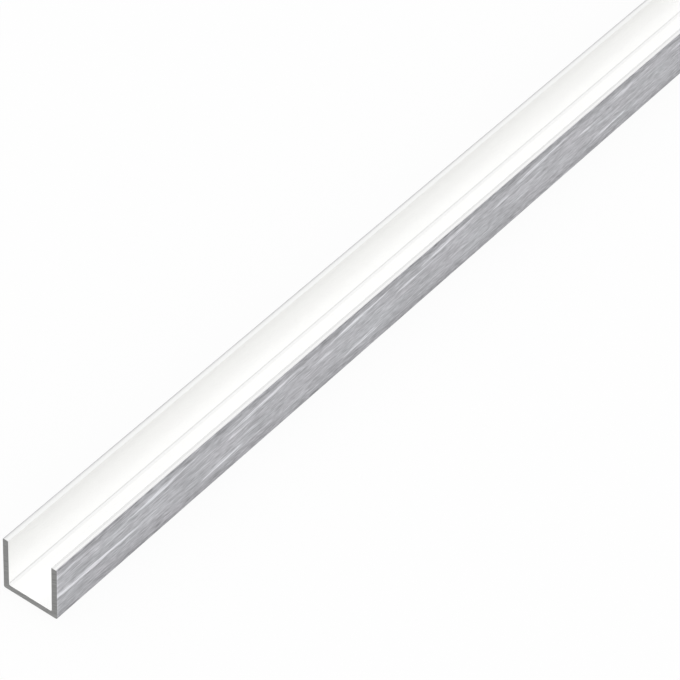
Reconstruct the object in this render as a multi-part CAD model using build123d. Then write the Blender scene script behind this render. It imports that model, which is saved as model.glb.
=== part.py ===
from build123d import *

import os

# A thin-walled U profile: one length of aluminium channel, extruded in one piece and sawn square.
# The frame is the profile as it lies open side up: +X along its length, +Z out of the channel,
# with the origin under the middle of the web. All sizes are in millimetres.

# Stock length, sawn end to sawn end
length = 1000.0

# The section, over its outer faces
section_width = 15.0
section_height = 15.0

# The flat bottom and the two upright sides
web_thickness = 1.5
flange_thickness = 1.5

# Outer corner where the web turns up into a flange, and the inner corner behind it
heel_radius = 0.4
root_radius = 0.4

# The two long arrises on top of each flange: the outer one, which the brushing rounds, and the inner one
outer_tip_radius = 0.3
inner_tip_radius = 0.15

# The saw's burr is broken off all round both ends
end_break = 0.05


def tip_corners(section):
    """The four corners on top of the two flanges, from one side to the other: outer, inner, inner, outer."""
    return section.vertices().group_by(Axis.Y)[-1].sort_by(Axis.X)


def channel_section():
    """The U section on the YZ plane, with the underside of the web on Z = 0."""
    channel_width = section_width - 2 * flange_thickness
    channel_depth = section_height - web_thickness
    stands_on_z0 = (Align.CENTER, Align.MIN)
    with BuildSketch(Plane.YZ) as section:
        Rectangle(section_width, section_height, align=stands_on_z0)
        with Locations((0, web_thickness)):
            Rectangle(channel_width, channel_depth, align=stands_on_z0, mode=Mode.SUBTRACT)
        # Rounded from the top down, so that the sharp corners left are always the lowest ones
        fillet(tip_corners(section)[1:3], inner_tip_radius)
        fillet(tip_corners(section)[::3], outer_tip_radius)
        roots = section.vertices().group_by(Axis.Y)[1]
        fillet(roots, root_radius)
        heels = section.vertices().group_by(Axis.Y)[0]
        fillet(heels, heel_radius)
    return section.sketch


def u_profile():
    """The section run out to both ends, half the length each way from the origin, and the ends deburred."""
    profile = extrude(channel_section(), amount=length / 2, both=True)
    sawn_ends = profile.faces().filter_by(Axis.X)
    profile = chamfer(sawn_ends.edges(), end_break)
    profile.label = "u_profile"
    return profile


os.makedirs("parts", exist_ok=True)
export_step(u_profile(), "parts/u_profile.step")
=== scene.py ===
import math

import bmesh
import bpy
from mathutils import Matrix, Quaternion, Vector


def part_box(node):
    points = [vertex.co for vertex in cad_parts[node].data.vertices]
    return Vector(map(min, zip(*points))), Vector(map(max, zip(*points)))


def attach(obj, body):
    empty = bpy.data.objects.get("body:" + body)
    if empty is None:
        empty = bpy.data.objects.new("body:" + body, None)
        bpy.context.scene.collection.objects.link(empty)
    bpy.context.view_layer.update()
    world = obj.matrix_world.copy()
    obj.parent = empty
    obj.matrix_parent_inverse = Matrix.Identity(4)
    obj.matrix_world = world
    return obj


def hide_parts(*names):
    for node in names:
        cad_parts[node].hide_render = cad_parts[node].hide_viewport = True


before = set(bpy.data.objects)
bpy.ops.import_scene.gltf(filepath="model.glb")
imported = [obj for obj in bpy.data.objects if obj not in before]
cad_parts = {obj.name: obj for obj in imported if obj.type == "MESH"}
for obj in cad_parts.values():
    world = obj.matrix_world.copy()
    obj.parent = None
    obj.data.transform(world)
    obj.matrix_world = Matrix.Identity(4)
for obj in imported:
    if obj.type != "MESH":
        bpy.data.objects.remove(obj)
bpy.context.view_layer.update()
scene = bpy.context.scene
scene.view_settings.view_transform = "Standard"

# The view. A long lens looks down on the near end from the right of the profile, so that the length runs
# away to the upper right and out of the frame.
low_corner, high_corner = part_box("u_profile")
heading = math.radians(33.88)
downward = math.radians(42.38)
roll = math.radians(4.24)
camera_distance = 0.7223
aim = Vector((low_corner.x + 0.10302, -0.00544, 0.00738))

camera = bpy.data.objects.new("camera", bpy.data.cameras.new("camera"))
scene.collection.objects.link(camera)
looking = Vector((
    math.cos(downward) * math.cos(heading),
    math.cos(downward) * math.sin(heading),
    -math.sin(downward),
))
camera.location = aim - looking * camera_distance
camera.rotation_mode = "QUATERNION"
camera.rotation_quaternion = looking.to_track_quat("-Z", "Y") @ Quaternion((0, 0, 1), roll)
camera.data.sensor_width = 36
camera.data.lens = 164.8
camera.data.clip_start = 0.01
camera.data.clip_end = 50
scene.camera = camera

# The studio: a white floor that keeps a soft shadow, under a dome of plain light. The dome is brightest high
# up and beyond the profile, so that what faces up is pale and what faces the camera is a shade darker.
floor_size = 12
floor_gap = 0.00002
floor_tone = 0.95
floor_lift = 0.92
horizon_light = 0.38
middle_light = 0.525
high_light = 0.2
brightest_way = (0.3, -0.35, 0.89)


class Socket:
    """One value in a node tree, so that sums on it read as plain expressions."""

    def __init__(self, tree, output):
        self.tree = tree
        self.output = output

    def node(self, kind, settings=None, inputs=None, out=0):
        """Adds a node, sets it, joins or fills its inputs and gives back one of its outputs."""
        made = self.tree.nodes.new(kind)
        for name, value in (settings or {}).items():
            setattr(made, name, value)
        for name, value in (inputs or {}).items():
            if isinstance(value, Socket):
                self.tree.links.new(value.output, made.inputs[name])
            else:
                made.inputs[name].default_value = value
        return Socket(self.tree, made.outputs[out]) if made.outputs else None

    def other(self, name):
        """Another output of the node that this value comes from."""
        return Socket(self.tree, self.output.node.outputs[name])

    def math(self, operation, *others):
        """A Math node on this value and the others."""
        values = dict(enumerate((self, *others)))
        return self.node("ShaderNodeMath", {"operation": operation}, values)

    def __abs__(self):
        return self.math("ABSOLUTE")

    def __add__(self, other):
        return self.math("ADD", other)

    def __sub__(self, other):
        return self.math("SUBTRACT", other)

    def __rsub__(self, other):
        return self.math("MULTIPLY", -1).math("ADD", other)

    def __mul__(self, other):
        return self.math("MULTIPLY", other)

    __radd__ = __add__
    __rmul__ = __mul__

    def steps(self, low, high):
        """0 below low, 1 above high and smooth between."""
        settings = {"interpolation_type": "SMOOTHSTEP"}
        return self.node("ShaderNodeMapRange", settings, {"Value": self, "From Min": low, "From Max": high})

    def mix(self, first, second):
        """The first colour where this value is 0 and the second where it is 1."""
        inputs = {"Factor": self, "A": first, "B": second}
        return self.node("ShaderNodeMix", {"data_type": "RGBA"}, inputs, out=2)


def empty_tree(owner):
    """Clears a material's or world's nodes and gives a value to start its expressions from."""
    owner.use_nodes = True
    owner.node_tree.nodes.clear()
    return Socket(owner.node_tree, None)


bpy.ops.object.select_all(action="DESELECT")
bpy.ops.mesh.primitive_plane_add(size=floor_size, location=(0, 0, -floor_gap))
bpy.ops.object.transform_apply(location=True, rotation=False, scale=False)
floor = bpy.context.object
floor.name = "studio_floor"
floor_material = bpy.data.materials.new("white_floor")
start = empty_tree(floor_material)
ray = start.node("ShaderNodeLightPath")
seen = ray.other("Is Camera Ray") + ray.other("Is Glossy Ray") + ray.other("Is Transmission Ray")
paint = start.node("ShaderNodeBsdfDiffuse", {}, {"Color": (floor_tone, floor_tone, floor_tone, 1)})
white = start.node("ShaderNodeEmission", {}, {"Strength": 1.0})
both = start.node("ShaderNodeMixShader", {}, {0: seen * floor_lift, 1: paint, 2: white})
start.node("ShaderNodeOutputMaterial", {}, {"Surface": both})
floor.data.materials.append(floor_material)

dome = bpy.data.worlds.new("dome")
scene.world = dome
start = empty_tree(dome)
direction = start.node("ShaderNodeTexCoord", out="Generated")
towards = start.node("ShaderNodeVectorMath", {"operation": "DOT_PRODUCT"},
                     {0: direction, 1: brightest_way}, out="Value")
strength = towards.steps(-0.1, 0.35) * middle_light + towards.steps(0.3, 0.95) * high_light + horizon_light
background = start.node("ShaderNodeBackground", {}, {"Color": (1, 1, 1, 1), "Strength": strength})
start.node("ShaderNodeOutputWorld", {}, {"Surface": background})

# The profile: thin-walled U channel pushed through a die in one piece, belt-brushed along its outer faces and
# left as extruded inside, then sawn square. It is shaped from a flat bar whose two edge strips are drawn up.
length, width, height = high_corner - low_corner
flank = width / 2
wall = 0.0015
inner = flank - wall
heel_radius = 0.0004
root_radius = 0.0004
outer_tip_radius = 0.0003
inner_tip_radius = 0.00015
end_break = 0.00005
ring_count = 50
close = 0.00001


def select_edges(piece, wanted):
    """Selects the edges whose two ends pass the test, and nothing else."""
    bpy.ops.mesh.select_all(action="DESELECT")
    mesh = bmesh.from_edit_mesh(piece.data)
    for edge in mesh.edges:
        edge.select_set(wanted(*(end.co for end in edge.verts)))
    bmesh.update_edit_mesh(piece.data)


def select_faces(piece, wanted):
    """Selects the faces whose middle and normal pass the test, and nothing else."""
    bpy.ops.mesh.select_all(action="DESELECT")
    mesh = bmesh.from_edit_mesh(piece.data)
    for face in mesh.faces:
        face.select_set(wanted(face.calc_center_median(), face.normal))
    bmesh.update_edit_mesh(piece.data)


def lies_at(point, out, up):
    """True for a point that lies so far out from the middle plane, on either side, and so far up."""
    return abs(abs(point.y) - out) < close and abs(point.z - up) < close


bpy.ops.object.select_all(action="DESELECT")
bpy.ops.mesh.primitive_cube_add(size=1, location=(0, 0, wall / 2), scale=(length, width, wall))
bpy.ops.object.transform_apply(location=True, rotation=False, scale=True)
profile = bpy.context.object
profile.name = "aluminium_profile"

bpy.ops.object.mode_set(mode="EDIT")
bpy.context.tool_settings.mesh_select_mode = (False, True, True)
for side in (-1, 1):
    bpy.ops.mesh.select_all(action="SELECT")
    bpy.ops.mesh.bisect(plane_co=(0, side * inner, 0), plane_no=(0, 1, 0))
select_faces(profile, lambda middle, normal: normal.z > 0.5 and abs(middle.y) > inner)
bpy.ops.mesh.extrude_region_move(TRANSFORM_OT_translate={"value": (0, 0, height - wall)})
bpy.ops.mesh.select_all(action="SELECT")
bpy.ops.mesh.dissolve_limited(angle_limit=math.radians(1))

# The long arrises are rounded: the heels under the web, the roots inside it, and the two tips of each flange.
# Each row gives how far out from the middle plane and how far up an arris lies, its radius and its facets.
arrises = (
    (flank, 0, heel_radius, 8),
    (inner, wall, root_radius, 6),
    (flank, height, outer_tip_radius, 6),
    (inner, height, inner_tip_radius, 4),
)
for out, up, radius, facets in arrises:
    select_edges(profile, lambda a, b: lies_at(a, out, up) and lies_at(b, out, up) and abs(a.x - b.x) > wall)
    bpy.ops.mesh.bevel(offset=radius, segments=facets, affect="EDGES")

# Both sawn ends lose their burr. Then a line round the flanges, below their tips, bounds the lean that the
# normals get further on, and rings divide the length.
leaning_band = 0.0035
select_edges(profile, lambda a, b: a.x * b.x > 0 and min(abs(a.x), abs(b.x)) > length / 2 - close)
bpy.ops.mesh.bevel(offset=end_break, segments=1, affect="EDGES")
bpy.ops.mesh.select_all(action="SELECT")
bpy.ops.mesh.bisect(plane_co=(0, 0, height - leaning_band), plane_no=(0, 0, 1))
select_edges(profile, lambda a, b: abs(a.x - b.x) > length / 2)
bpy.ops.mesh.subdivide(number_cuts=ring_count - 1)
bpy.ops.object.mode_set(mode="OBJECT")
bpy.ops.object.shade_smooth_by_angle(angle=math.radians(30))
even = profile.modifiers.new("flat_faces_stay_flat", "WEIGHTED_NORMAL")
even.keep_sharp = True
bpy.ops.object.modifier_apply(modifier=even.name)

# Light that leaves a root or the inside of a flange close to level needs more bounces than a render follows,
# and would make a black line of it. So the normals of both roots lean halfway to straight up, and those along
# the top of both inner walls lean a few degrees.
root_lean = 1
wall_lean = 0.11
mesh = profile.data
leaning = [corner.vector.copy() for corner in mesh.corner_normals]
for face in mesh.polygons:
    if abs(face.normal.x) > 0.5:
        continue
    in_root = 0.05 < face.normal.z < 0.99 and face.center.z < wall + root_radius
    for i in face.loop_indices:
        corner = mesh.vertices[mesh.loops[i].vertex_index].co
        if in_root or lies_at(corner, inner, height - inner_tip_radius):
            lean = root_lean if in_root else wall_lean
            leaning[i] = (leaning[i] + Vector((0, 0, lean))).normalized()
mesh.normals_split_custom_set(leaning)

# The finish of the outside. An abrasive belt has run along it and left fine scratches and rows of longer pale
# strokes that rise a little along the length. Its grey is partly painted shade of faces turned from the
# light, it is darker along the top, and painted shade darkens it towards the heel.
brushed_dark_and_shade = (0.22, 0.22, 0.231, 1)
brushed_cool = (0.79, 0.807, 0.836, 1)
brushed_warm = (0.81, 0.793, 0.836, 1)
scratch_depth = 0.000004
hair_length = 0.014
hair_width = 0.0003
side_shift = 0.37
side_seed = 50


def streaks(place, along, across, seed, detail=2.0):
    """Noise drawn out along the length, whose marks are about as long and as wide as the two sizes."""
    drawn = place.node("ShaderNodeMapping", {"vector_type": "TEXTURE"}, {
        "Vector": place, "Location": (seed, seed, seed), "Scale": (along, across, across)})
    return place.node("ShaderNodeTexNoise", {}, {"Vector": drawn, "Scale": 1.0, "Detail": detail}) - 0.5


def strokes(spot, at, pitch, reach, rise, half, wander, seed):
    """A row of pale strokes, one to a pitch: bundles of broken hairs that taper to both ends.

    At is the row's place on the way from the middle plane round the heel and up the flank. Reach is the
    share of its pitch that a stroke takes, and half is its half width at the middle. A fine dark line of
    painted shade, each stroke's shadow side, runs along its lower edge. The rows of the two flanks are out
    of step with each other.
    """
    x, way, side = spot
    count = x * (1 / pitch) + side * side_shift + seed
    cell = count.math("FLOOR")
    draw = {"W": cell + side * side_seed}
    luck = x.node("ShaderNodeTexWhiteNoise", {"noise_dimensions": "1D"}, draw, out="Color")
    first = luck.node("ShaderNodeSeparateColor", {}, {"Color": luck})
    second, third = first.other("Green"), first.other("Blue")
    along = (count - cell - first * (1 - reach)) * (1 / reach)
    middle = along * rise + (second - 0.5) * wander + at
    taper = (along * (1 - along) * 4).math("MAXIMUM", 0)
    off = way - middle
    inside = taper * half - abs(off)
    # Painted shade: a fine dark line under each stroke, its shadow side.
    under = taper * half * 0.6 - abs(off + half * 0.9)
    thread = x.node("ShaderNodeCombineXYZ", {}, {
        0: x * (1 / hair_length), 1: off * (1 / hair_width), 2: cell})
    hairs = x.node("ShaderNodeTexNoise", {}, {"Vector": thread, "Scale": 1.0, "Detail": 1.0})
    pale = inside.steps(0, half * 0.8) * hairs.steps(0.36, 0.64)
    return (pale - under.steps(0, half * 0.5) * 0.1) * (third * 0.5 + 0.5)


def bare_metal(colour, roughness, relief, depth):
    """Ends the colour's tree with bare metal. A change of 1 in the relief is as deep as the depth."""
    bump = colour.node("ShaderNodeBump", {}, {"Height": relief, "Distance": depth, "Strength": 1.0})
    shader = colour.node("ShaderNodeBsdfPrincipled", {}, {
        "Base Color": colour, "Metallic": 1.0, "Roughness": roughness, "Normal": bump})
    colour.node("ShaderNodeOutputMaterial", {}, {"Surface": shader})


brushed = bpy.data.materials.new("brushed_outside")
place = empty_tree(brushed).node("ShaderNodeTexCoord", out="Object")
x = place.node("ShaderNodeSeparateXYZ", {}, {0: place})
y, z = x.other("Y"), x.other("Z")
way = abs(y) + z
spot = (x, way, y.math("SIGN"))
strand = streaks(place, along=0.020, across=0.0005, seed=3.1)
cloud = streaks(place, along=0.011, across=0.0018, seed=7.7)
grain = streaks(place, along=0.0026, across=0.00028, seed=5.9, detail=3.0)
hair = streaks(place, along=0.02, across=0.0001, seed=1.3)
scratch = streaks(place, along=0.022, across=0.0002, seed=14.1).steps(0.1, 0.2)
tint = streaks(place, along=0.012, across=0.003, seed=21.3) * 1.5 + 0.5
top_row = strokes(spot, at=flank + 0.0115, pitch=0.037, reach=0.85, rise=0.0017,
                  half=0.001, wander=0.0006, seed=2.45)
short_row = strokes(spot, at=flank + 0.0098, pitch=0.037, reach=0.3, rise=0.0001,
                    half=0.0007, wander=0.0008, seed=1.7)
middle_row = strokes(spot, at=flank + 0.0069, pitch=0.4, reach=0.135, rise=0.0003,
                     half=0.0009, wander=0.0006, seed=50.81)
low_row = strokes(spot, at=flank + 0.0036, pitch=0.09, reach=0.24, rise=0.001,
                  half=0.0009, wander=0.0016, seed=15.056)
under_row = strokes(spot, at=0.0035, pitch=0.054, reach=0.6, rise=0.0012,
                    half=0.0008, wander=0.004, seed=0.4)
stroke = top_row * 1.1 + short_row * 0.8 + middle_row * 1.6 + low_row + under_row
top_edge = way.steps(flank + 0.0129, flank + 0.0139)
# Painted shade: darker towards the heel and over the lower half, near the floor.
heel_shade = 1 - abs(way - flank - 0.0005).steps(0.0004, 0.0035)
lower_shade = 1 - way.steps(flank + 0.003, flank + 0.009)
# Painted highlight: a pale strip on the outside along each sawn end, where its broken edge would catch the
# light.
end_highlight = abs(x).steps(length / 2 - 0.0008, length / 2 - 0.0001)
# The base of 0.43 keeps the outside darker than the inside; part of that is painted shade of faces turned
# from the light.
shade = (stroke * 0.9 + scratch * 0.25 + strand * 0.42 + cloud * 0.4 + grain * 1.15 + hair * 0.9
         - top_edge * 0.16 - heel_shade * 0.14 - lower_shade * 0.03 + end_highlight * 0.15 + 0.43)
colour = shade.mix(brushed_dark_and_shade, tint.mix(brushed_cool, brushed_warm))
roughness = strand * 0.3 + grain * 0.15 - stroke * 0.1 + 0.42
bare_metal(colour, roughness, strand + hair, scratch_depth)

# The finish of the inside and of the tips, as it left the die: bright, with faint lines that run the whole
# length. Painted shade darkens a thin line along the right tip, the outer edges of the tips and the roots.
# The dark end of the inside's colour, which its painted shade and darker marks mix towards.
dull_and_shaded_metal = (0.70, 0.70, 0.70, 1)
clean_metal = (1.0, 1.0, 0.993, 1)
die_line_depth = 0.000002
tip_line_y = -0.0064
extruded = bpy.data.materials.new("as_extruded_inside")
place = empty_tree(extruded).node("ShaderNodeTexCoord", out="Object")
y = place.node("ShaderNodeSeparateXYZ", {}, {0: place}, out="Y")
z = y.other("Z")
die_line = streaks(place, along=0.9, across=0.0003, seed=5.2)
bloom = streaks(place, along=0.06, across=0.005, seed=9.4)
tips = z.steps(height - 0.00003, height - 0.00001)
# Painted shade along the outer edge of each tip, deeper on the left flange.
rim = abs(y).steps(flank - 0.0006, flank - 0.0002) * 0.2 + y.steps(flank - 0.0009, flank - 0.0003) * 0.42
# Painted shade: a thin dark line along the right tip.
tip_line_shade = 1 - abs(y - tip_line_y).steps(0.0001, 0.0003)
# Painted shade low on the inner walls, in the corners with the web.
root_shade = abs(y).steps(inner - 0.0006, inner - 0.0001) * (1 - z.steps(wall + 0.0001, wall + 0.0013))
shade = die_line * 0.1 + bloom * 0.06 - tips * (tip_line_shade * 0.28 + 0.2) - rim - root_shade * 0.35 + 0.92
colour = shade.mix(dull_and_shaded_metal, clean_metal)
bare_metal(colour, die_line * 0.15 + 0.16, die_line, die_line_depth)

# The finish of the sawn ends: dull grey, partly painted shade of faces turned from the light, with the
# shallow arcs that a circular blade leaves.
sawn_dark_and_shade = (0.18, 0.18, 0.178, 1)
sawn_pale = (0.42, 0.42, 0.415, 1)
saw_mark_depth = 0.00001
saw_mark_pitch = 0.0004
blade_centre = (0, 0.045, 0.13)
sawn = bpy.data.materials.new("sawn_ends")
place = empty_tree(sawn).node("ShaderNodeTexCoord", out="Object")
z = place.node("ShaderNodeSeparateXYZ", {}, {0: place}, out="Z")
flat = place.node("ShaderNodeVectorMath", {"operation": "MULTIPLY"}, {0: place, 1: (0, 1, 1)})
from_blade = place.node("ShaderNodeVectorMath", {"operation": "DISTANCE"},
                        {0: flat, 1: blade_centre}, out="Value")
uneven = place.node("ShaderNodeTexNoise", {}, {"Vector": place, "Scale": 900.0, "Detail": 3.0}) - 0.5
arc = from_blade * (1 / saw_mark_pitch) + uneven * 0.8
ring = place.node("ShaderNodeTexNoise", {"noise_dimensions": "1D"},
                  {"W": arc, "Scale": 1.0, "Detail": 2.0}) - 0.5
web_part = 1 - z.steps(wall - 0.0005, wall + 0.0005)
shade = ring * 0.9 + uneven * 0.4 + web_part * 0.12 + 0.5
colour = shade.mix(sawn_dark_and_shade, sawn_pale)
bare_metal(colour, uneven * 0.2 + 0.55, ring, saw_mark_depth)


def is_brushed(middle, normal):
    """True on the faces that the belt reached: the underside, the heels and both flanks to the top arris."""
    on_flank = middle.y * normal.y > 0 and abs(middle.y) > flank - wall / 2 and normal.z < 0.95
    return abs(normal.x) < 0.5 and (on_flank or normal.z < -0.1)


def is_sawn(middle, normal):
    """True on the two ends and on the break round each."""
    return abs(normal.x) > 0.5


# Every face starts out as extruded, and the belt and the saw take theirs.
for finish in (extruded, brushed, sawn):
    profile.data.materials.append(finish)
bpy.ops.object.mode_set(mode="EDIT")
for finish, test in ((brushed, is_brushed), (sawn, is_sawn)):
    select_faces(profile, test)
    profile.active_material_index = profile.data.materials.find(finish.name)
    bpy.ops.object.material_slot_assign()
bpy.ops.object.mode_set(mode="OBJECT")

# The map that pictures of these finishes are laid out on: the length across it and the way round the section
# up it, with the two sawn ends beside each other above. Its sizes are shares of the map.
outline = [Vector(corner) for corner in (
    (-flank, 0), (flank, 0), (flank, height), (inner, height),
    (inner, wall), (-inner, wall), (-inner, height), (-flank, height))]
sides = list(zip(outline, outline[1:] + outline[:1]))
perimeter = sum((last - first).length for first, last in sides)
strip_margin = 0.003
strip_width = 0.994
strip_height = 0.747
end_size = 0.22
end_bottom = 0.77
near_end_left = 0.005
far_end_left = 0.255


def way_round(point):
    """How far round the section, as a share of its outline, the place nearest to the point lies."""
    passed, nearest = 0, (1, 0)
    for first, last in sides:
        run = last - first
        share = min(max((point - first).dot(run) / run.length_squared, 0), 1)
        gap = (first + run * share - point).length
        nearest = min(nearest, (gap, (passed + run.length * share) / perimeter))
        passed += run.length
    return nearest[1]


finish_map = mesh.uv_layers.new(name="OFBake")
for face in mesh.polygons:
    corners = [mesh.vertices[mesh.loops[i].vertex_index].co for i in face.loop_indices]
    if abs(face.normal.x) > 0.5:
        left = near_end_left if face.normal.x < 0 else far_end_left
        spots = [(left + end_size * (p.y / width + 0.5), end_bottom + end_size * p.z / height)
                 for p in corners]
    else:
        ways = [way_round(p.yz) for p in corners]
        ways = [way + (max(ways) - way > 0.5) for way in ways]
        spots = [(strip_margin + strip_width * (p.x / length + 0.5), strip_margin + strip_height * way)
                 for p, way in zip(corners, ways)]
    for i, spot in zip(face.loop_indices, spots):
        finish_map.data[i].uv = spot

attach(profile, "root")
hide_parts("u_profile")
